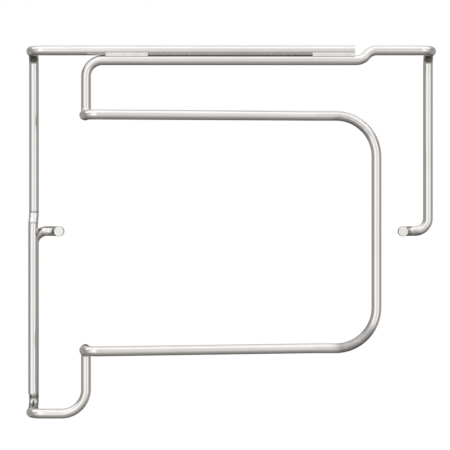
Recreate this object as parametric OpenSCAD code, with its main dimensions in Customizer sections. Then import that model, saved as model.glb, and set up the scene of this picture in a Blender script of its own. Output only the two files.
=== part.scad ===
// Wall rack frame, bent from two lengths of round stainless rod that are welded side by side.
// X runs along the rack, Z is up, and the front is at -Y. "Reach" is a distance forward of the uprights.
// The origin is midway between the two mounting pins, where they come straight out of their bends.

/* [Rod] */
// Diameter of the solid round rod
rod_d = 12; // [10:0.5:15]
// Centre line radius of the tight bends, at the corners and the pins
bend_r = 16; // [12:0.5:20]
// How much the rod's diameter shrinks where it is bent
bend_thinning = 0.04; // [0.02:0.01:0.1]

/* [Back frame] */
// Distance between the centre lines of the two uprights
frame_w = 492.5; // [410:0.5:600]
// Distance between the centre lines of the top bar and the bottom bar
frame_h = 444.5; // [370:0.5:540]
// How far the top and bottom bars stand forward of the uprights, on centre lines
bar_reach = 50; // [42:1:60]

/* [Folded out loop] */
// Distance between the posts at the loop's open end and its far end, on centre lines
loop_w = 355.5; // [295:0.5:380]
// Distance between the loop's two arms, on centre lines
loop_h = 284.5; // [237:0.5:300]
// How far the loop's open end stands forward of the uprights, on centre lines
loop_reach = 97; // [90:1:116]
// Corner radius at the loop's far end, on the centre line
loop_r = 50; // [40:1:58]
// Length of each arm's stretch that lies in the plane of the bars, before the far end
loop_flat = 73; // [68:1:88]
// Bend radius where each arm leaves the plane of the bars
slope_r = 60; // [50:1:70]
// Bend radius from the lower top bar into the upper post
top_post_r = 20; // [16:1:24]
// Bend radius from each post towards the loop's open end
link_r = 11; // [9:0.5:16]
// Bend radius from the lower post into the bottom bar
low_post_r = 30; // [22:1:34]
// Shortest straight left in a post between its two bends, which a short post's larger bend gives way to
post_straight = 1; // [1:1:10]

/* [Mounting pins] */
// Straight length between the two bends that lead from an upright to its pin
pin_offset = 1.25; // [0.5:0.25:12]
// Straight length of each pin, from its bend to its flat end
pin_l = 10; // [6:1:30]

/* [Laps] */
// Gap between two rods that lie side by side
lap_gap = 0.1; // [0.1:0.05:0.3]
// Steepest angle of the sideways step that a rod takes to lie beside the other
step_angle = 49; // [42:1:58]
// Straight length in the middle of a sideways step
step_straight = 1; // [0.5:0.5:2]
// Distance from the outside of the loop's far end back to where the top step starts
step_inset = 5.5; // [5.5:0.5:16]
// Gap between the end of the top step and the brace's flat cut end beside it
step_gap = 1.5; // [0:0.5:4]
// Height of the middle of the side step above the pins
side_step_z = 14.5; // [14:0.5:24]
// Gap between a rod's flat cut end and the bend that it stops short of
end_gap = 4; // [3:0.5:6]

/* [Weld seams] */
// Length of each weld seam
weld_l = 52; // [40:1:64]
// How far the seam's face reaches onto the brace, measured from the middle of the lap
weld_on_brace = 3.5; // [2.5:0.1:3.6]
// How far the seam's face reaches onto the frame rod, measured from the middle of the lap
weld_on_frame = 2; // [0.9:0.1:2.2]
// Width of the unwelded root between the rods
weld_root = 1.2; // [0.8:0.1:1.6]
// Distance from a bend to the weld seam beside it
weld_gap = 4; // [1:0.5:10]

/* [Hidden] */

$fn = 96;
run_on = 0.05;                  // how far a straight's full diameter runs on into the bend after it
weld_bite = 0.2;                // how far a seam's outline runs into each rod before it is trimmed
rod_r = rod_d / 2;
lap = rod_d + lap_gap;          // centre distance of two rods side by side
side_x = frame_w / 2;
top_z = frame_h / 2;
low_bar_z = top_z - lap;        // the lower of the two top bars
post_x = loop_w / 2;
arm_z = loop_h / 2;
upper_post_r = min(top_post_r, low_bar_z - arm_z - link_r - post_straight);
lower_post_r = min(low_post_r, top_z - arm_z - link_r - post_straight);
slope_x = post_x - loop_flat;
pin_x = side_x - 2 * bend_r - pin_offset;
pin_reach = bend_r + pin_l;

// A sideways step of one lap: two equal bends with a short straight between them.
step_r = (lap - step_straight * sin(step_angle)) / (2 * (1 - cos(step_angle)));
step_edge = step_r * tan(step_angle / 2);
step_run = lap / tan(step_angle);               // between the two corners, along the rod
top_step_x = post_x + rod_r - step_inset - step_edge;   // the upper corner of the step in the top bar
brace_end_x = top_step_x - step_run - step_edge - step_gap;
brace_end_z = -top_z + bend_r + end_gap;
side_step_up = side_step_z + step_run / 2;
side_step_low = side_step_z - step_run / 2;

// A point from its place along the rack, its reach and its height.
function at(x, reach, z) = [x, bend_r - reach, z];

// Each rod is a list of [corner, bend radius]; the two ends have no bend.
frame_path = [
    [at(pin_x, pin_reach, 0), 0],
    [at(pin_x, 0, 0), bend_r],
    [at(side_x, 0, 0), bend_r],
    [at(side_x, 0, top_z), bend_r],
    [at(side_x, bar_reach, top_z), bend_r],
    [at(top_step_x, bar_reach, top_z), step_r],
    [at(top_step_x - step_run, bar_reach, low_bar_z), step_r],
    [at(-post_x, bar_reach, low_bar_z), upper_post_r],
    [at(-post_x, bar_reach, arm_z), link_r],
    [at(-post_x, loop_reach, arm_z), bend_r],
    [at(slope_x, bar_reach, arm_z), slope_r],
    [at(post_x, bar_reach, arm_z), loop_r],
    [at(post_x, bar_reach, -arm_z), loop_r],
    [at(slope_x, bar_reach, -arm_z), slope_r],
    [at(-post_x, loop_reach, -arm_z), bend_r],
    [at(-post_x, bar_reach, -arm_z), link_r],
    [at(-post_x, bar_reach, -top_z), lower_post_r],
    [at(-side_x, bar_reach, -top_z), bend_r],
    [at(-side_x, 0, -top_z), bend_r],
    [at(-side_x, 0, 0), bend_r],
    [at(-pin_x, 0, 0), bend_r],
    [at(-pin_x, pin_reach, 0), 0],
];
brace_path = [
    [at(brace_end_x, bar_reach, top_z), 0],
    [at(-side_x, bar_reach, top_z), bend_r],
    [at(-side_x, 0, top_z), bend_r],
    [at(-side_x, 0, side_step_up), step_r],
    [at(-side_x, lap, side_step_low), step_r],
    [at(-side_x, lap, brace_end_z), 0],
];

function unit(v) = v / norm(v);
function heading(path, i) = unit(path[i + 1][0] - path[i][0]);
function turn(path, i) = acos(heading(path, i - 1) * heading(path, i));
function is_end(path, i) = i == 0 || i == len(path) - 1;
// How much of the straight on each side of a corner its bend takes up.
function edge(path, i) = path[i][1] * tan(turn(path, i) / 2);
// Where the straights on both sides of a corner end, measured from it.
function straight_start(path, i) = is_end(path, i) ? 0 : edge(path, i) - run_on;

// The frame that carries x, y and z onto three directions, and the origin onto a point.
module oriented(x, y, z, origin)
    multmatrix([
        [x[0], y[0], z[0], origin[0]],
        [x[1], y[1], z[1], origin[1]],
        [x[2], y[2], z[2], origin[2]],
    ])
        children();

module straight(path, i) {
    along = heading(path, i);
    across = unit(abs(along[0]) > 0.9 ? cross(along, [0, 0, 1]) : cross(along, [1, 0, 0]));
    start = path[i][0] + along * straight_start(path, i);
    end = path[i + 1][0] - along * straight_start(path, i + 1);
    oriented(across, cross(along, across), along, start)
        cylinder(d = rod_d, h = norm(end - start));
}

module bend(path, i) {
    before = heading(path, i - 1);
    after = heading(path, i);
    inward = unit(after - before * (before * after));
    centre = path[i][0] - before * edge(path, i) + inward * path[i][1];
    oriented(-inward, before, cross(before, inward), centre)
        rotate_extrude(angle = turn(path, i))
            translate([path[i][1], 0])
                circle(d = rod_d - bend_thinning);
}

module bent_rod(path) {
    for (i = [0 : len(path) - 2])
        straight(path, i);
    for (i = [1 : len(path) - 2])
        bend(path, i);
}

// How far the surface of a rod stands out beside the middle of a lap, at a distance up or down from that middle.
function stands_out(from_middle) = sqrt(pow(rod_r, 2) - pow(lap / 2 - from_middle, 2));

// A seam along x in the valley between the brace, at y = +lap/2, and the frame rod, at y = -lap/2.
// Its face looks towards +z, and runs a little way into both rods before they are cut out of it.
module seam() {
    on_brace = [weld_on_brace, stands_out(weld_on_brace)];
    on_frame = [-weld_on_frame, stands_out(weld_on_frame)];
    into_rod = unit(on_brace - on_frame) * weld_bite;
    root = weld_root / 2;
    difference() {
        rotate([90, 0, 90])
            linear_extrude(weld_l)
                polygon([
                    on_brace + into_rod,
                    [root, stands_out(root)],
                    [-root, stands_out(root)],
                    on_frame - into_rod,
                ]);
        for (side = [-1, 1])
            translate([-rod_d, side * lap / 2, 0])
                rotate([0, 90, 0])
                    cylinder(d = rod_d, h = weld_l + 2 * rod_d);
    }
}

module frame_rod() {
    color("silver")
        bent_rod(frame_path);
}

module brace_rod() {
    color("silver")
        bent_rod(brace_path);
}

// A seam between the two top bars, facing the front, from x to the right.
module top_seam(x)
    color("gainsboro")
        translate(at(x, bar_reach, top_z - lap / 2))
            rotate([90, 0, 0])
                seam();

// A seam between the left upright and the brace in front of it, facing outwards, from z downwards.
module side_seam(z)
    color("gainsboro")
        translate(at(-side_x, lap / 2, z))
            rotate([90, 90, -90])
                seam();

module weld_top_left() top_seam(-post_x + upper_post_r + weld_gap);
module weld_top_right() top_seam(brace_end_x - weld_l);
module weld_side_upper() side_seam(-bend_r - weld_gap);
module weld_side_lower() side_seam(brace_end_z + weld_l);

frame_rod();
brace_rod();
weld_top_left();
weld_top_right();
weld_side_upper();
weld_side_lower();
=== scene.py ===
from math import cos, pi, radians, sin, tan

import bpy
import numpy as np
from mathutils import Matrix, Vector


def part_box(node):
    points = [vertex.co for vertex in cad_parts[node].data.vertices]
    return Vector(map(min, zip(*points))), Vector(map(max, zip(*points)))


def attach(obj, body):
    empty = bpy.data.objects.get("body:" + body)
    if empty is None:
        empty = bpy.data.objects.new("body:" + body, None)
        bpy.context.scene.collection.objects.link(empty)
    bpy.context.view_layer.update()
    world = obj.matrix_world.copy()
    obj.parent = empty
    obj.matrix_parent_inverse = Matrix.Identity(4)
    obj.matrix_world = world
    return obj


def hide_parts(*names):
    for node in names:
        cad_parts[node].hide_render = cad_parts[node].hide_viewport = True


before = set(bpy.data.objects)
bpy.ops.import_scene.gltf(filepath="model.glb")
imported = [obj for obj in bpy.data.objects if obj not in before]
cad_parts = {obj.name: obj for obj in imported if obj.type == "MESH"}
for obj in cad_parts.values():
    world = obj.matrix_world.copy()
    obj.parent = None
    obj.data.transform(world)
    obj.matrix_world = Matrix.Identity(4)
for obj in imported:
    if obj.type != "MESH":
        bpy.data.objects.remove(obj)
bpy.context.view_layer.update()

# Wall rack frame: two bent stainless rods, side by side where they are welded.
# Everything is in metres; x runs along the rack, z is up and the front is at -y.

frameLow, frameHigh = (np.array(corner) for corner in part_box("frame_rod"))
braceLow, braceHigh = (np.array(corner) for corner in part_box("brace_rod"))


def unit(v):
    return v / np.linalg.norm(v, axis=-1, keepdims=True)


def easeIn(t):
    # 3t^2 - 2t^3, level at both ends
    t = np.clip(t, 0, 1)
    return t * t * (3 - 2 * t)


def turned(v, axis, angle):
    # the vector v turned about the axis by each angle: v cos a + (axis x v) sin a + axis (axis.v)(1 - cos a)
    c, s = np.cos(angle)[:, None], np.sin(angle)[:, None]
    return v * c + np.cross(axis, v) * s + axis * (axis @ v) * (1 - c)


def centreLine(corners, bendRadii, bendStep, straightStep, easeLength):
    # Straights joined by arcs. Each arc turns the tangent and the side vector about the bend's own axis,
    # so the rings never twist. Returns one row per ring: centre, tangent, side, the unit vector towards
    # the bend's centre scaled by how bent the rod is there, and the distance along the rod.
    headings = unit(np.diff(corners, axis=0))
    turns = np.zeros(len(corners))
    turns[1:-1] = np.arccos(np.clip((headings[:-1] * headings[1:]).sum(1), -1, 1))
    cuts = bendRadii * np.tan(turns / 2)
    side = unit(np.cross(headings[0], [0.0, 0.0, 1.0]))
    rows, travelled = [], 0.0
    for i, heading in enumerate(headings):
        start = corners[i] + heading * cuts[i]
        length = np.linalg.norm(corners[i + 1] - corners[i]) - cuts[i] - cuts[i + 1]
        along = np.linspace(0, length, max(2, int(np.ceil(length / straightStep)) + 1))
        last = i == len(headings) - 1
        along = along if last else along[:-1]
        full = np.ones((len(along), 1))
        rows.append(np.hstack([start + along[:, None] * heading, full * heading, full * side,
                               full * 0 * heading, travelled + along[:, None]]))
        travelled += length
        if last:
            break
        nextHeading, turn, bend = headings[i + 1], turns[i + 1], bendRadii[i + 1]
        axis = unit(np.cross(heading, nextHeading))
        inward = np.cross(axis, heading)
        centre = start + heading * length + inward * bend
        angle = np.linspace(0, turn, max(4, int(np.ceil(turn * bend / bendStep)) + 1))[:-1]
        towardCentre = turned(inward, axis, angle)
        bent = easeIn(np.minimum(angle, turn - angle) * bend / easeLength)
        rows.append(np.hstack([centre - towardCentre * bend, turned(heading, axis, angle),
                               turned(side, axis, angle), towardCentre * bent[:, None],
                               travelled + bend * angle[:, None]]))
        side = turned(side, axis, np.array([turn]))[0]
        travelled += turn * bend
    return np.vstack(rows)


def endRings(line, outward, radius, rim, flatRings, rimRings):
    # The rings of a sawn end: circles on the flat face, then a quarter round of the rim's radius.
    # The centre line stops where the quarter round begins.
    phi = np.linspace(0, pi / 2, rimRings)
    flatRadii = np.linspace(0, radius - rim, flatRings + 1)[1:-1]
    radii = np.concatenate([flatRadii, radius - rim + rim * np.sin(phi)])
    out = np.concatenate([np.full(flatRings - 1, rim), rim * np.cos(phi)])
    rings = np.repeat(line[None, :], len(radii), axis=0)
    rings[:, :3] += outward * out[:, None]
    return rings[:-1], radii[:-1]


def closedGrid(name, grid, poles, materials, endFaces, attributes):
    # A tube mesh from grid[ring, around, xyz], closed around and shut at both ends by a fan to a pole.
    # endFaces is how many bands at each end take the second material. Attributes are arrays on the same
    # grid, with the poles' own values last.
    rings, around = grid.shape[:2]
    index = np.arange(rings * around).reshape(rings, around)
    ahead = np.roll(index, -1, axis=1)
    quads = np.stack([index[:-1], ahead[:-1], ahead[1:], index[1:]], axis=-1).reshape(-1, 4)
    firstPole, lastPole = rings * around, rings * around + 1
    fans = np.concatenate([
        np.stack([np.full(around, firstPole), ahead[0], index[0]], axis=-1),
        np.stack([np.full(around, lastPole), index[-1], ahead[-1]], axis=-1),
    ])
    mesh = bpy.data.meshes.new(name)
    points = np.vstack([grid.reshape(-1, 3), poles])
    mesh.from_pydata(points.tolist(), [], quads.tolist() + fans.tolist())
    fanRings = [np.zeros(around), np.full(around, rings - 2)]
    faceRing = np.concatenate([np.repeat(np.arange(rings - 1), around), *fanRings])
    atEnd = (faceRing < endFaces) | (faceRing >= rings - 1 - endFaces)
    mesh.polygons.foreach_set("use_smooth", np.ones(len(faceRing), bool))
    mesh.polygons.foreach_set("material_index", atEnd.astype(np.int32))
    for attribute, values in attributes.items():
        kind, field = ("FLOAT_VECTOR", "vector") if values.shape[-1] == 3 else ("FLOAT", "value")
        made = mesh.attributes.new(attribute, kind, "POINT")
        made.data.foreach_set(field, values.astype(np.float32).ravel())
    for material in materials:
        mesh.materials.append(material)
    mesh.update()
    piece = bpy.data.objects.new(name, mesh)
    bpy.context.scene.collection.objects.link(piece)
    return piece


def paintedShadeAt(points, spots, softEdge):
    # the strongest painted shade spot at each point: full inside, and eased to nothing over the outer part of
    # its size
    paintedShade = np.zeros(len(points))
    for centre, size, strength in spots:
        away = np.linalg.norm((points - centre) / size, axis=1)
        paintedShade = np.maximum(paintedShade, strength * easeIn((1 - away) / softEdge))
    return paintedShade[:, None]


def bentRod(name, corners, bendRadii, shape, spots, materials):
    # A round section carried along the centre line: centre + r (side cos a + up sin a), where r is a
    # little smaller towards and away from the centre of a bend, because a bent rod goes slightly oval.
    radius, rim = shape["radius"], shape["rimRound"]
    corners, bendRadii = np.array(corners, float), np.array(bendRadii, float)
    corners[0] += unit(corners[1] - corners[0]) * rim
    corners[-1] += unit(corners[-2] - corners[-1]) * rim
    line = centreLine(corners, bendRadii, shape["bendStep"], shape["straightStep"], shape["ovalEase"])
    firstWay, lastWay = -line[0, 3:6], line[-1, 3:6]
    firstRings, endRadii = endRings(line[0], firstWay, radius, rim, shape["flatRings"], shape["rimRings"])
    lastRings, _ = endRings(line[-1], lastWay, radius, rim, shape["flatRings"], shape["rimRings"])
    poles = np.array([line[0, :3] + firstWay * rim, line[-1, :3] + lastWay * rim])
    radii = np.concatenate([endRadii, np.full(len(line), radius), endRadii[::-1]])
    line = np.vstack([firstRings, line, lastRings[::-1]])
    centre, tangent, side = line[:, :3], line[:, 3:6], line[:, 6:9]
    toward, travelled = line[:, 9:12], line[:, 12]
    up = np.cross(tangent, side)
    angle = np.linspace(0, 2 * pi, shape["sides"], endpoint=False)
    spoke = side[:, None] * np.cos(angle)[None, :, None] + up[:, None] * np.sin(angle)[None, :, None]
    facing = (spoke * toward[:, None]).sum(-1)
    grid = centre[:, None] + spoke * (radii[:, None] * (1 - shape["oval"] * facing ** 2))[..., None]
    skin = np.stack([np.broadcast_to(travelled[:, None], facing.shape),
                     radii[:, None] * np.cos(angle), radii[:, None] * np.sin(angle)], axis=-1).reshape(-1, 3)
    skin = np.vstack([skin, [[travelled[0], 0, 0], [travelled[-1], 0, 0]]])
    bent = np.repeat(np.linalg.norm(toward, axis=1), len(angle))
    bent = np.concatenate([bent, [0, 0]])[:, None]
    # painted shade: how strongly each point is darkened towards a near-black grey, from the spots
    paintedShade = paintedShadeAt(np.vstack([grid.reshape(-1, 3), poles]), spots, shape["paintedShadeEdge"])
    endFaces = shape["flatRings"] - 1 + shape["rimRings"] // 2
    return closedGrid(name, grid, poles, materials, endFaces, {"skin": skin, "bent": bent, "paintedShade": paintedShade})


def node(tree, kind, inputs=None, **settings):
    # A new shader node. Each input is linked where it is given a socket, and set where it is given a value.
    made = tree.nodes.new(kind)
    for key, value in settings.items():
        setattr(made, key, value)
    for key, value in (inputs or {}).items():
        if isinstance(value, bpy.types.NodeSocket):
            tree.links.new(value, made.inputs[key])
        else:
            made.inputs[key].default_value = value
    return made


def mathNode(tree, operation, *values):
    return node(tree, "ShaderNodeMath", dict(enumerate(values)), operation=operation).outputs[0]


def addShare(tree, total, part, share):
    return mathNode(tree, "ADD", total, mathNode(tree, "MULTIPLY", part, share))


def vectorMath(tree, operation, *vectors):
    return node(tree, "ShaderNodeVectorMath", dict(enumerate(vectors)), operation=operation)


def colourMix(tree, share, first, second):
    # a Mix node's colours are its inputs 6 and 7, and the mixed colour is its output 2
    return node(tree, "ShaderNodeMix", {0: share, 6: first, 7: second}, data_type="RGBA").outputs[2]


def spread(tree, value, fromRange, toRange, smooth=False):
    # fromRange stretched to toRange and held at its ends, by a straight line or an s-curve
    made = node(tree, "ShaderNodeMapRange", {
        "Value": value, "From Min": fromRange[0], "From Max": fromRange[1],
        "To Min": toRange[0], "To Max": toRange[1],
    })
    made.interpolation_type = "SMOOTHSTEP" if smooth else "LINEAR"
    return made.outputs["Result"]


def noiseValue(tree, vector, scale, noise):
    return node(tree, "ShaderNodeTexNoise", {
        "Vector": vector, "Scale": scale, "Detail": noise["detail"], "Roughness": noise["roughness"],
    }).outputs["Fac"]


def surfacePlace(tree):
    return node(tree, "ShaderNodeTexCoord").outputs["Object"]


def surfaceValue(tree, attribute, output="Fac"):
    return node(tree, "ShaderNodeAttribute", attribute_name=attribute).outputs[output]


def newGroup(name, inputs, outputs):
    group = bpy.data.node_groups.new(name, "ShaderNodeTree")
    for label, value in inputs.items():
        socket = group.interface.new_socket(label, in_out="INPUT", socket_type="NodeSocketFloat")
        socket.default_value = value   # each material sets its own
    for label in outputs:
        group.interface.new_socket(label, in_out="OUTPUT", socket_type="NodeSocketFloat")
    return group, group.nodes.new("NodeGroupInput"), group.nodes.new("NodeGroupOutput")


# Effects that the steels share. Detail is the number of octaves, and roughness how much the fine ones count.
grainShape = {"grainsPerMetre": 1800.0, "noise": {"detail": 2.0, "roughness": 0.6}}
hazeShape = {
    "patchNoise": {"detail": 3.0, "roughness": 0.55}, "patchEdges": (0.35, 0.65),
    "smearNoise": {"detail": 4.0, "roughness": 0.65}, "smearEdges": (0.5, 0.75), "smearsPerPatch": 6.0,
}
dimpleNoise = {"detail": 2.0, "roughness": 0.55}


def polishGrainGroup(shape):
    # Fine lines left by polishing along the rod, and a small even grain.
    group, given, out = newGroup("polishGrain", {"LinePitch": 0.0004, "LineLength": 0.03}, ("Lines", "Grain"))
    alongScale = mathNode(group, "DIVIDE", 1.0, given.outputs["LineLength"])
    acrossScale = mathNode(group, "DIVIDE", 1.0, given.outputs["LinePitch"])
    scale = node(group, "ShaderNodeCombineXYZ", {0: alongScale, 1: acrossScale, 2: acrossScale}).outputs[0]
    stretched = vectorMath(group, "MULTIPLY", surfaceValue(group, "skin", "Vector"), scale).outputs[0]
    lines = noiseValue(group, stretched, 1.0, shape["noise"])
    grain = noiseValue(group, surfacePlace(group), shape["grainsPerMetre"], shape["noise"])
    group.links.new(lines, out.inputs["Lines"])
    group.links.new(grain, out.inputs["Grain"])
    return group


def handlingHazeGroup(shape):
    # Broad soft patches where hands and cloths have dulled the polish, and small wiped smears.
    group, given, out = newGroup("handlingHaze", {"PatchSize": 0.05}, ("Haze", "Smear"))
    place = surfacePlace(group)
    patchScale = mathNode(group, "DIVIDE", 1.0, given.outputs["PatchSize"])
    smearScale = mathNode(group, "MULTIPLY", patchScale, shape["smearsPerPatch"])
    patches = noiseValue(group, place, patchScale, shape["patchNoise"])
    smears = noiseValue(group, place, smearScale, shape["smearNoise"])
    group.links.new(spread(group, patches, shape["patchEdges"], (0.0, 1.0), True), out.inputs["Haze"])
    group.links.new(spread(group, smears, shape["smearEdges"], (0.0, 1.0), True), out.inputs["Smear"])
    return group


def bareSteel(name):
    material = bpy.data.materials.new(name)
    material.use_nodes = True
    bsdf = material.node_tree.nodes["Principled BSDF"]
    bsdf.inputs["Metallic"].default_value = 1.0
    return material, material.node_tree, bsdf


def hazedRoughness(tree, haze, look):
    roughest = look["roughness"] + look["hazeRoughness"]
    return spread(tree, haze.outputs["Haze"], (0.0, 1.0), (look["roughness"], roughest))


def finishSteel(tree, bsdf, shade, rough, height):
    bump = node(tree, "ShaderNodeBump", {"Height": height, "Strength": 1.0, "Distance": 1.0})
    tree.links.new(shade, bsdf.inputs["Base Color"])
    tree.links.new(rough, bsdf.inputs["Roughness"])
    tree.links.new(bump.outputs["Normal"], bsdf.inputs["Normal"])


def steelMaterial(name, look, polishGrain, handlingHaze):
    # Bare stainless steel: haze and grain move its roughness and its shade a little, bends are dimpled,
    # and painted shade spots darken it and make it rougher, broken up by the smears.
    material, tree, bsdf = bareSteel(name)
    grain = node(tree, "ShaderNodeGroup", node_tree=polishGrain)
    grain.inputs["LinePitch"].default_value = look["linePitch"]
    grain.inputs["LineLength"].default_value = look["lineLength"]
    haze = node(tree, "ShaderNodeGroup", node_tree=handlingHaze)
    haze.inputs["PatchSize"].default_value = look["patchSize"]
    bent = surfaceValue(tree, "bent")
    shade = colourMix(tree, haze.outputs["Haze"], look["clean"], look["handled"])
    rough = hazedRoughness(tree, haze, look)
    rough = addShare(tree, rough, haze.outputs["Smear"], look["smearRoughness"])
    rough = addShare(tree, rough, grain.outputs["Lines"], look["lineRoughness"])
    rough = addShare(tree, rough, bent, look["bendRoughness"])
    # painted shade: the spots darken the colour towards a near-black grey and roughen it, broken up by the
    # smears
    if "paintedShadeColour" in look:
        mottle = spread(tree, haze.outputs["Smear"], (0.0, 1.0), (1.0, look["mottle"]))
        paintedShade = mathNode(tree, "MULTIPLY", surfaceValue(tree, "paintedShade"), mottle)
        shade = colourMix(tree, paintedShade, shade, look["paintedShadeColour"])
        rough = addShare(tree, rough, paintedShade, look["paintedShadeRoughness"])
    dimples = noiseValue(tree, surfacePlace(tree), 1.0 / look["dimpleSize"], dimpleNoise)
    height = mathNode(tree, "MULTIPLY", mathNode(tree, "MULTIPLY", dimples, bent), look["dimpleHeight"])
    height = addShare(tree, height, grain.outputs["Lines"], look["lineHeight"])
    height = addShare(tree, height, grain.outputs["Grain"], look["grainHeight"])
    finishSteel(tree, bsdf, shade, rough, height)
    return material


def sawnEndMaterial(name, look, handlingHaze):
    # The faced end of a rod: fine rings about its middle, as a lathe leaves them.
    material, tree, bsdf = bareSteel(name)
    haze = node(tree, "ShaderNodeGroup", node_tree=handlingHaze)
    haze.inputs["PatchSize"].default_value = look["patchSize"]
    onFace = vectorMath(tree, "MULTIPLY", surfaceValue(tree, "skin", "Vector"), (0.0, 1.0, 1.0)).outputs[0]
    fromMiddle = vectorMath(tree, "LENGTH", onFace).outputs["Value"]
    rings = mathNode(tree, "SINE", mathNode(tree, "MULTIPLY", fromMiddle, 2 * pi / look["ringPitch"]))
    shade = colourMix(tree, spread(tree, rings, (-1.0, 1.0), (0.0, 1.0)), look["valley"], look["ridge"])
    height = mathNode(tree, "MULTIPLY", rings, look["ringHeight"])
    finishSteel(tree, bsdf, shade, hazedRoughness(tree, haze, look), height)
    return material


rodFinish = {
    "clean": (0.64, 0.632, 0.62, 1), "handled": (0.62, 0.611, 0.597, 1), "patchSize": 0.045,
    "roughness": 0.07, "hazeRoughness": 0.03, "smearRoughness": 0.03, "lineRoughness": 0.03,
    "bendRoughness": 0.02,
    "linePitch": 0.0005, "lineLength": 0.03, "lineHeight": 0.0000002, "grainHeight": 0.00000005,
    "dimpleSize": 0.0032, "dimpleHeight": 0.000008,
    # painted shade: the near-black grey and extra roughness of the shade spots
    "paintedShadeColour": (0.165, 0.156, 0.147, 1), "paintedShadeRoughness": 0.12, "mottle": 0.6,
}
weldFinish = {
    "clean": (0.68, 0.675, 0.665, 1), "handled": (0.63, 0.625, 0.615, 1), "patchSize": 0.012,
    "roughness": 0.36, "hazeRoughness": 0.06, "smearRoughness": 0.05, "lineRoughness": 0.06,
    "bendRoughness": 0.0,
    "linePitch": 0.0005, "lineLength": 0.0015, "lineHeight": 0.0000003, "grainHeight": 0.0000001,
    "dimpleSize": 0.002, "dimpleHeight": 0.000003,
}
endFinish = {
    "ridge": (0.74, 0.735, 0.725, 1), "valley": (0.68, 0.673, 0.66, 1), "patchSize": 0.004,
    "roughness": 0.3, "hazeRoughness": 0.08, "ringPitch": 0.0009, "ringHeight": 0.0000015,
}

polishGrain = polishGrainGroup(grainShape)
handlingHaze = handlingHazeGroup(hazeShape)
rodSteel = steelMaterial("satinRodSteel", rodFinish, polishGrain, handlingHaze)
weldSteel = steelMaterial("dressedWeldSteel", weldFinish, polishGrain, handlingHaze)
endSteel = sawnEndMaterial("facedEndSteel", endFinish, handlingHaze)
print("finishes made")

# The two rods. Reaches, spacings and heights are between centre lines.
rodShape = {
    "radius": 0.006, "bendRadius": 0.016, "rimRound": 0.0006, "oval": 0.012, "ovalEase": 0.008,
    "paintedShadeEdge": 0.4, "sides": 56, "bendStep": 0.0011, "straightStep": 0.007, "flatRings": 6, "rimRings": 6,
}
frameShape = {
    "postSpacing": 0.3555, "armSpacing": 0.2845, "loopReach": 0.097, "loopCorner": 0.050, "armFlat": 0.073,
    "slopeBend": 0.060, "upperPostBend": 0.020, "linkBend": 0.011, "lowerPostBend": 0.030,
    "pinInset": 0.03325, "pinTip": -0.010,
}
lapShape = {
    "gap": 0.00001, "stepAngle": 49, "stepStraight": 0.001, "stepInset": 0.0055, "sideStepHeight": 0.0145,
}

radius, bendRadius = rodShape["radius"], rodShape["bendRadius"]
backY = frameHigh[1] - radius
sideX = frameHigh[0] - radius
topZ = frameHigh[2] - radius
barY = braceLow[1] + radius
lap = 2 * radius + lapShape["gap"]
lowBarZ = topZ - lap
postX = frameShape["postSpacing"] / 2
armZ = frameShape["armSpacing"] / 2
loopY = backY - frameShape["loopReach"]
slopeX = postX - frameShape["armFlat"]
pinX = sideX - frameShape["pinInset"]

# A sideways step of one lap is two equal bends with a short straight between them.
stepTurn = radians(lapShape["stepAngle"])
stepRadius = (lap - lapShape["stepStraight"] * sin(stepTurn)) / (2 * (1 - cos(stepTurn)))
stepCut = stepRadius * tan(stepTurn / 2)
stepRun = lap / tan(stepTurn)
topStepX = postX + radius - lapShape["stepInset"] - stepCut
sideStepUp = lapShape["sideStepHeight"] + stepRun / 2
sideStepLow = lapShape["sideStepHeight"] - stepRun / 2

frameCorners = [
    ((pinX, frameShape["pinTip"], 0), 0),
    ((pinX, backY, 0), bendRadius),
    ((sideX, backY, 0), bendRadius),
    ((sideX, backY, topZ), bendRadius),
    ((sideX, barY, topZ), bendRadius),
    ((topStepX, barY, topZ), stepRadius),
    ((topStepX - stepRun, barY, lowBarZ), stepRadius),
    ((-postX, barY, lowBarZ), frameShape["upperPostBend"]),
    ((-postX, barY, armZ), frameShape["linkBend"]),
    ((-postX, loopY, armZ), bendRadius),
    ((slopeX, barY, armZ), frameShape["slopeBend"]),
    ((postX, barY, armZ), frameShape["loopCorner"]),
    ((postX, barY, -armZ), frameShape["loopCorner"]),
    ((slopeX, barY, -armZ), frameShape["slopeBend"]),
    ((-postX, loopY, -armZ), bendRadius),
    ((-postX, barY, -armZ), frameShape["linkBend"]),
    ((-postX, barY, -topZ), frameShape["lowerPostBend"]),
    ((-sideX, barY, -topZ), bendRadius),
    ((-sideX, backY, -topZ), bendRadius),
    ((-sideX, backY, 0), bendRadius),
    ((-pinX, backY, 0), bendRadius),
    ((-pinX, frameShape["pinTip"], 0), 0),
]
braceCorners = [
    ((braceHigh[0], barY, topZ), 0),
    ((-sideX, barY, topZ), bendRadius),
    ((-sideX, backY, topZ), bendRadius),
    ((-sideX, backY, sideStepUp), stepRadius),
    ((-sideX, backY - lap, sideStepLow), stepRadius),
    ((-sideX, backY - lap, braceLow[2]), 0),
]
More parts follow.
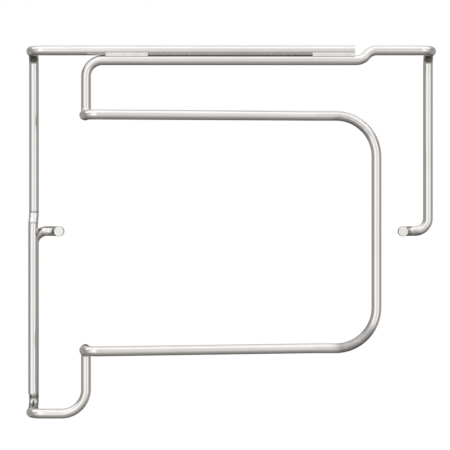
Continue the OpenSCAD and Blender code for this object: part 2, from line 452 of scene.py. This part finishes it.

# Painted shade: darker, rougher spots where shade and dark reflections fall, in the inner sides of bends, by
# the pins' roots, at the side step and in the loop's lower corner. Each is a place on the frame, how far away
# from it the spot's middle is, the spot's half sizes and its strength.
topRight, topLeft, lowLeft = (sideX, backY, topZ), (-sideX, backY, topZ), (-sideX, backY, -topZ)
rightHook, leftHook = (sideX, backY, 0), (-sideX, backY, 0)
sideStep = (-sideX, backY, lapShape["sideStepHeight"])
paintedShadePlaces = [
    (topLeft, (0, -0.010, -0.0085), (0.010, 0.009, 0.0062), 0.9),
    (topRight, (0, -0.010, -0.0085), (0.010, 0.009, 0.0062), 0.9),
    (lowLeft, (0, -0.006, 0.0170), (0.012, 0.012, 0.0050), 1.0),
    (lowLeft, (0, -0.010, 0.0042), (0.012, 0.012, 0.0062), 0.7),
    (lowLeft, (radius, 0, 0.0122), (0.0035, 0.020, 0.1500), 0.4),
    (sideStep, (0, -0.010, 0.0095), (0.009, 0.020, 0.0016), 0.6),
    (sideStep, (0, -0.016, -0.0040), (0.009, 0.020, 0.0016), 0.5),
    (leftHook, (0.0192, -0.006, 0.0056), (0.013, 0.014, 0.0024), 0.95),
    (leftHook, (0.0078, -0.004, 0.0028), (0.004, 0.010, 0.0040), 0.6),
    (leftHook, (0.0084, -0.004, -0.0046), (0.0065, 0.012, 0.0080), 0.4),
    (rightHook, (-0.0240, -0.006, 0.0055), (0.005, 0.014, 0.0022), 0.9),
    (rightHook, (-0.0202, -0.006, -0.0040), (0.015, 0.012, 0.0065), 0.5),
    ((postX, barY, -armZ), (-0.0235, 0, 0.0077), (0.033, 0.033, 0.033), 0.62),
]
# A fainter row of painted shade spots follows the inner side of the loop's upper right corner.
innerRow = {"turns": (6, 18, 30, 42, 54), "inset": 0.0065, "forward": 0.004, "size": 0.009, "strength": 0.35}
rowRadius = frameShape["loopCorner"] - innerRow["inset"]
cornerMiddle = (postX - frameShape["loopCorner"], barY - innerRow["forward"], armZ - frameShape["loopCorner"])
for turn in np.radians(innerRow["turns"]):
    away = (rowRadius * sin(turn), 0, rowRadius * cos(turn))
    paintedShadePlaces.append((cornerMiddle, away, (innerRow["size"],) * 3, innerRow["strength"]))
paintedShadeSpots = [(np.add(place, away), size, strength) for place, away, size, strength in paintedShadePlaces]

for nodeName, corners in (("frame_rod", frameCorners), ("brace_rod", braceCorners)):
    places, bendRadii = zip(*corners)
    pieceName = nodeName.replace("_", ".") + ".polished"
    rod = bentRod(pieceName, places, bendRadii, rodShape, paintedShadeSpots, [rodSteel, endSteel])
    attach(rod, "root")
    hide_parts(nodeName)
    print("rod made", rod.name, len(rod.data.polygons), "faces")

# The weld seams. Widths are measured from the middle of a lap, and heights outwards from the rods' middles.
seamShape = {
    "onBrace": 0.0035, "onFrame": 0.0022, "root": 0.0006, "bite": 0.0002, "level": 0.00515, "rise": 0.00022,
    "ripplePitch": 0.0014, "rippleHeight": 0.000012, "rippleBow": 0.0009, "edgeSharpness": 16,
    "endRound": 0.0005, "endSize": 0.5, "lengthStep": 0.00022, "facePoints": 15, "edgeCrowding": 1.6,
}


def standsOut(fromMiddle):
    # how far a rod's skin stands out beside the middle of the lap
    return (radius ** 2 - (lap / 2 - fromMiddle) ** 2) ** 0.5


def weldSeam(name, start, along, towardBrace, outward, length, shape, materials):
    # The face runs from the frame rod to the brace. It drops to the frame rod as (1 - s)^sharpness, is
    # dressed nearly level from there on, and is rippled by a cosine of the distance along it, bowed as
    # solidified weld pools are. Both ends shrink as a quarter ellipse. Points crowd towards the drop.
    low = np.array([-shape["onFrame"], standsOut(shape["onFrame"]) - shape["bite"]])
    high = np.array([shape["onBrace"], shape["level"] + shape["rise"]])
    s = np.linspace(0, 1, shape["facePoints"])[None, :] ** shape["edgeCrowding"]
    x = np.linspace(0, length, int(length / shape["lengthStep"]) + 1)[:, None]
    dome = 4 * s * (1 - s)
    ripple = np.cos(2 * pi * (x + shape["rippleBow"] * dome) / shape["ripplePitch"]) * shape["rippleHeight"]
    across = low[0] + (high[0] - low[0]) * s + 0 * x
    drop = (shape["level"] - low[1]) * (1 - s) ** shape["edgeSharpness"]
    out = shape["level"] + shape["rise"] * s - drop + ripple * dome ** 0.5
    rootOut = standsOut(shape["root"])
    back = np.ones_like(x)
    across = np.hstack([across, back * shape["root"], -back * shape["root"]])
    out = np.hstack([out, back * rootOut, back * rootOut])
    fromEnd = np.clip(np.minimum(x, length - x) / shape["endRound"], 0, 1)
    size = shape["endSize"] + (1 - shape["endSize"]) * np.sqrt(1 - (1 - fromEnd) ** 2)
    middle = (low[0] + high[0]) / 2
    across = middle + (across - middle) * size
    out = rootOut + (out - rootOut) * size
    start, along, towardBrace, outward = (np.array(v, float) for v in (start, along, towardBrace, outward))
    grid = start + x[..., None] * along + across[..., None] * towardBrace + out[..., None] * outward
    poles = np.array([grid[0].mean(0), grid[-1].mean(0)])
    skin = np.stack([x + 0 * across, across, out], axis=-1).reshape(-1, 3)
    skin = np.vstack([skin, skin[:1], skin[-1:]])
    bent = np.zeros((len(skin), 1))
    bent[:-2] = fromEnd.repeat(grid.shape[1], axis=1).reshape(-1, 1)
    return closedGrid(name, grid, poles, materials, 0, {"skin": skin, "bent": bent})


# Each seam's directions: along it, towards the brace, and outwards.
seamPlaces = {
    "weld_top_left": ((1, 0, 0), (0, 0, 1), (0, -1, 0)),
    "weld_top_right": ((1, 0, 0), (0, 0, 1), (0, -1, 0)),
    "weld_side_upper": ((0, 0, 1), (0, -1, 0), (-1, 0, 0)),
    "weld_side_lower": ((0, 0, 1), (0, -1, 0), (-1, 0, 0)),
}
for nodeName, (along, towardBrace, outward) in seamPlaces.items():
    low, high = (np.array(corner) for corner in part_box(nodeName))
    onTop = along == (1, 0, 0)
    start = (low[0], barY, topZ - lap / 2) if onTop else (-sideX, backY - lap / 2, low[2])
    length = float((high - low) @ np.array(along))
    pieceName = nodeName.replace("_", ".") + ".bead"
    seam = weldSeam(pieceName, start, along, towardBrace, outward, length, seamShape, [weldSteel])
    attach(seam, "root")
    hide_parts(nodeName)
    print("seam made", seam.name, len(seam.data.polygons), "faces")

# The surround that the steel mirrors. Over and under: the angle up from straight ahead, round past the back,
# and how bright bare steel looks there, from 0 to 255. Sideways: the angle to the right, the brightness, and
# how much of it counts near the level.
overUnder = [
    (-180, 72), (-175, 70), (-160, 74), (-140, 84), (-128, 98), (-112, 112), (-96, 122), (-82, 132),
    (-69, 142), (-57, 158), (-44, 172), (-32, 186), (-20, 193), (-9, 198), (4, 202), (15, 204), (27, 207),
    (39, 215), (48, 236), (56, 254), (88, 255), (100, 250), (112, 228), (124, 202), (138, 188), (155, 190),
    (168, 150), (176, 78), (180, 72),
]
sideways = [
    (-180, 150, 1), (-96, 150, 1), (-80, 142, 1), (-66, 172, 1), (-55, 200, 1), (-46, 222, 1), (-37, 242, 1),
    (-28, 254, 1), (-18, 254, 1), (-10, 250, 1), (-5, 243, 0.75), (-1, 236, 0.32), (6.5, 236, 0.28),
    (13, 236, 0.25), (21, 236, 0.3), (27, 245, 0.95), (36, 252, 1), (44, 252, 1), (52, 226, 1), (61, 205, 1),
    (69, 182, 1), (80, 150, 1), (96, 152, 1), (180, 150, 1),
]
surround = {
    "mirrored": 0.63, "warmth": (0.0, 0.11, 0.19), "sideEdges": (0.8, 0.95), "sideBehind": 0.55,
    "panelFoot": (-34, -14), "panelHead": (44, 70),
}


def screenToLight(value):
    # the sRGB curve undone: ((v + 0.055) / 1.055)^2.4
    return ((value / 255 + 0.055) / 1.055) ** 2.4


def directionRamp(tree, angle, stops):
    # A colour ramp round the whole circle of an angle. Darker stops are warmer, and alpha is how much counts.
    ramp = node(tree, "ShaderNodeValToRGB", {"Fac": spread(tree, angle, (-pi, pi), (0.0, 1.0))})
    elements = ramp.color_ramp.elements
    while len(elements) < len(stops):
        elements.new(0.5)   # moved to its own place below
    for element, (degreesRound, value, counts) in zip(elements, stops):
        light = screenToLight(value) / surround["mirrored"]
        darkness = 1 - value / 255
        element.position = (degreesRound + 180) / 360
        element.color = [light * (1 - lost * darkness) for lost in surround["warmth"]] + [counts]
    return ramp


world = bpy.data.worlds.new("studioSurround")
bpy.context.scene.world = world
world.use_nodes = True
sky = world.node_tree
sky.nodes.clear()
direction = node(sky, "ShaderNodeSeparateXYZ", {0: node(sky, "ShaderNodeTexCoord").outputs["Generated"]})
right, back, up = direction.outputs
ahead = mathNode(sky, "MULTIPLY", back, -1.0)
risen = mathNode(sky, "ARCTAN2", up, ahead)
aside = mathNode(sky, "ARCTAN2", right, ahead)
overRamp = directionRamp(sky, risen, [(*stop, 1) for stop in overUnder])
sideRamp = directionRamp(sky, aside, sideways)
foot = spread(sky, risen, np.radians(surround["panelFoot"]), (0.0, 1.0), True)
head = spread(sky, risen, np.radians(surround["panelHead"]), (1.0, 0.0), True)
panels = mathNode(sky, "MULTIPLY", mathNode(sky, "MULTIPLY", foot, head), sideRamp.outputs["Alpha"])
behind = mathNode(sky, "MAXIMUM", back, 0.0)
sideLean = addShare(sky, mathNode(sky, "ABSOLUTE", right), behind, surround["sideBehind"])
farSide = spread(sky, sideLean, surround["sideEdges"], (0.0, 1.0), True)
sideShare = mathNode(sky, "MAXIMUM", panels, farSide)
mirroredShade = colourMix(sky, sideShare, overRamp.outputs["Color"], sideRamp.outputs["Color"])
surroundLight = node(sky, "ShaderNodeBackground", {"Color": mirroredShade, "Strength": 1.0})
plainWhite = node(sky, "ShaderNodeBackground", {"Color": (1, 1, 1, 1), "Strength": 1.0})
seen = node(sky, "ShaderNodeLightPath").outputs["Is Camera Ray"]
shown = node(sky, "ShaderNodeMixShader", {0: seen, 1: surroundLight.outputs[0], 2: plainWhite.outputs[0]})
node(sky, "ShaderNodeOutputWorld", {"Surface": shown.outputs[0]})
print("surround made")

# A plain pale floor, below the rack and level.
floorShape = {"size": 3.2, "drop": 0.22, "shade": (0.9, 0.9, 0.9, 1), "roughness": 0.8}
floorZ = frameLow[2] - floorShape["drop"]
half = floorShape["size"] / 2
floorMesh = bpy.data.meshes.new("paleFloor")
floorCorners = [(-half, -half, floorZ), (half, -half, floorZ), (half, half, floorZ), (-half, half, floorZ)]
floorMesh.from_pydata(floorCorners, [], [(0, 1, 2, 3)])
floor = bpy.data.objects.new("paleFloor", floorMesh)
bpy.context.scene.collection.objects.link(floor)
floor.visible_glossy = False
floorPaint = bpy.data.materials.new("paleFloorPaint")
floorPaint.use_nodes = True
floorBsdf = floorPaint.node_tree.nodes["Principled BSDF"]
floorBsdf.inputs["Base Color"].default_value = floorShape["shade"]
floorBsdf.inputs["Roughness"].default_value = floorShape["roughness"]
floorMesh.materials.append(floorPaint)

# One broad soft light overhead.
lightShape = {"size": (2.4, 1.6), "power": 12, "place": (0, -0.6, 1.9), "tilt": -17}
softLight = bpy.data.objects.new("softOverhead", bpy.data.lights.new("softOverhead", "AREA"))
softLight.data.shape = "RECTANGLE"
softLight.data.size, softLight.data.size_y = lightShape["size"]
softLight.data.energy = lightShape["power"]
softLight.location = lightShape["place"]
softLight.rotation_euler = (radians(lightShape["tilt"]), 0, 0)
softLight.visible_glossy = False
bpy.context.scene.collection.objects.link(softLight)

# The camera is level and looks straight at the rack's front.
cameraShape = {
    "place": (-0.01575, -2.384, 0.0576), "lens": 153.6, "sensor": 36.0, "shift": (0.0148, -0.0889),
    "clip": (0.05, 50),
}
camera = bpy.data.objects.new("camera", bpy.data.cameras.new("camera"))
camera.data.lens, camera.data.sensor_width = cameraShape["lens"], cameraShape["sensor"]
camera.data.shift_x, camera.data.shift_y = cameraShape["shift"]
camera.data.clip_start, camera.data.clip_end = cameraShape["clip"]
camera.location = cameraShape["place"]
camera.rotation_euler = (radians(90), 0, 0)
bpy.context.scene.collection.objects.link(camera)
bpy.context.scene.camera = camera
bpy.context.scene.view_settings.view_transform = "Standard"
print("floor, light and camera made")
